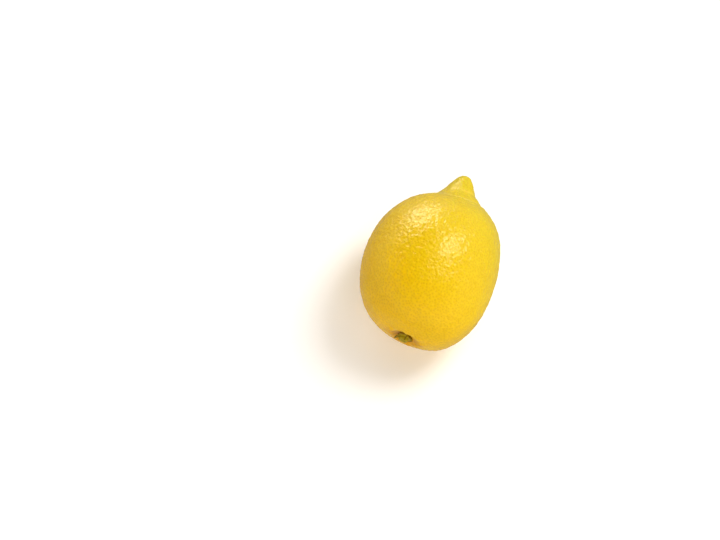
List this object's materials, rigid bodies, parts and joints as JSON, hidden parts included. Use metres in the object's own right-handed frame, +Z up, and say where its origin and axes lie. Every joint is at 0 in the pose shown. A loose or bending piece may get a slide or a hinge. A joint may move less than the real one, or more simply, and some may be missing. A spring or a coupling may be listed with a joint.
{
  "type": "lemon",
  "caption": "Whole fresh lemon lying on its side, with a pointed nipple at one end and a small green stem button at the other.",
  "frame": {"origin": "on the surface that the lemon rests on, under the middle of its bounding box", "axes": "+X along the long axis from the stem end to the nipple, +Z up"},
  "size_m": [0.088, 0.0618, 0.0598],
  "materials": {
    "peel": "waxy lemon peel with fine oil-gland pits, soft satin sheen",
    "stem": "dull green plant stem, brown where it was cut and between the sepals"
  },
  "bodies": {
    "root": {"fruit": "peel", "stem_button": "stem"}
  },
  "joints": []
}
